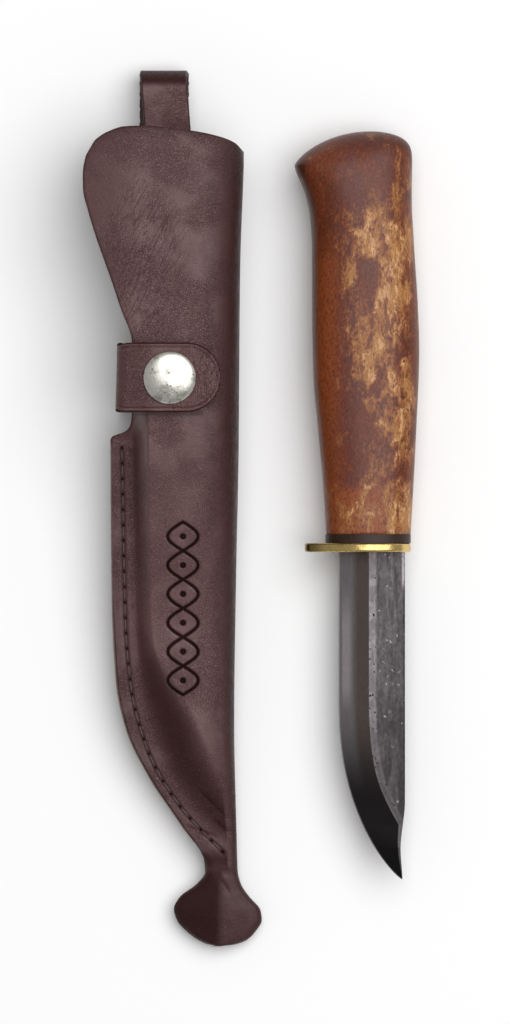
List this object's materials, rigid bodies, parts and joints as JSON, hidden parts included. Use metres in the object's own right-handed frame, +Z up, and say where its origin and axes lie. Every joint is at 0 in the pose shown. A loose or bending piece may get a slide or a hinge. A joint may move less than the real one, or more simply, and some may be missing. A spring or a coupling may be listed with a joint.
{
  "type": "whittling knife with sheath",
  "caption": "Fixed-blade carving knife with an oval wooden handle, brass finger guard and bevelled blade, beside its folded leather sheath with belt loop and snap strap.",
  "frame": {"origin": "centre of the plan bounding box, on the surface that the knife and sheath lie on", "axes": "+X from the sheath to the knife, +Y from the sheath's toe to its mouth and from the blade's tip to the pommel, +Z up from the table"},
  "size_m": [0.0974, 0.2538, 0.0387],
  "materials": {
    "leather": "fine grain, soft sheen",
    "strap_leather": "fine grain, soft sheen",
    "liner": "matte",
    "thread": "waxed",
    "snap_nickel": "worn, brushed",
    "snap_brass": "dull",
    "spring_steel": "bright",
    "blade_steel": "dark satin, ground bevel",
    "guard_brass": "polished",
    "spacer": "oiled",
    "handle_wood": "oiled, glossy",
    "epoxy": "cured glue"
  },
  "bodies": {
    "sheath": {"sheath_leather": "leather", "welt": "leather", "blade_liner": "liner", "seam_thread": "thread", "belt_loop": "strap_leather", "loop_stitches": "thread", "strap_tail": "strap_leather", "strap_stitches": "thread", "snap_stud": "snap_brass", "snap_post": "snap_brass"},
    "strap": {"strap_flap": "strap_leather", "snap_cap": "snap_nickel", "snap_socket": "snap_brass", "snap_spring": "spring_steel"},
    "knife": {"blade": "blade_steel", "guard": "guard_brass", "spacer": "spacer", "handle": "handle_wood", "tang_epoxy": "epoxy"}
  },
  "joints": [
    {"name": "strap_hinge", "type": "hinge", "parent": "sheath", "child": "strap", "pos_m": [-0.038, 0.03783, 0.03499], "axis": [0, -0.9962, -0.0872], "range_deg": [0, 160]},
    {"name": "knife_lift", "type": "slide", "parent": "sheath", "child": "knife", "axis": [0, 0, 1], "range_m": [0, 0.12]}
  ]
}
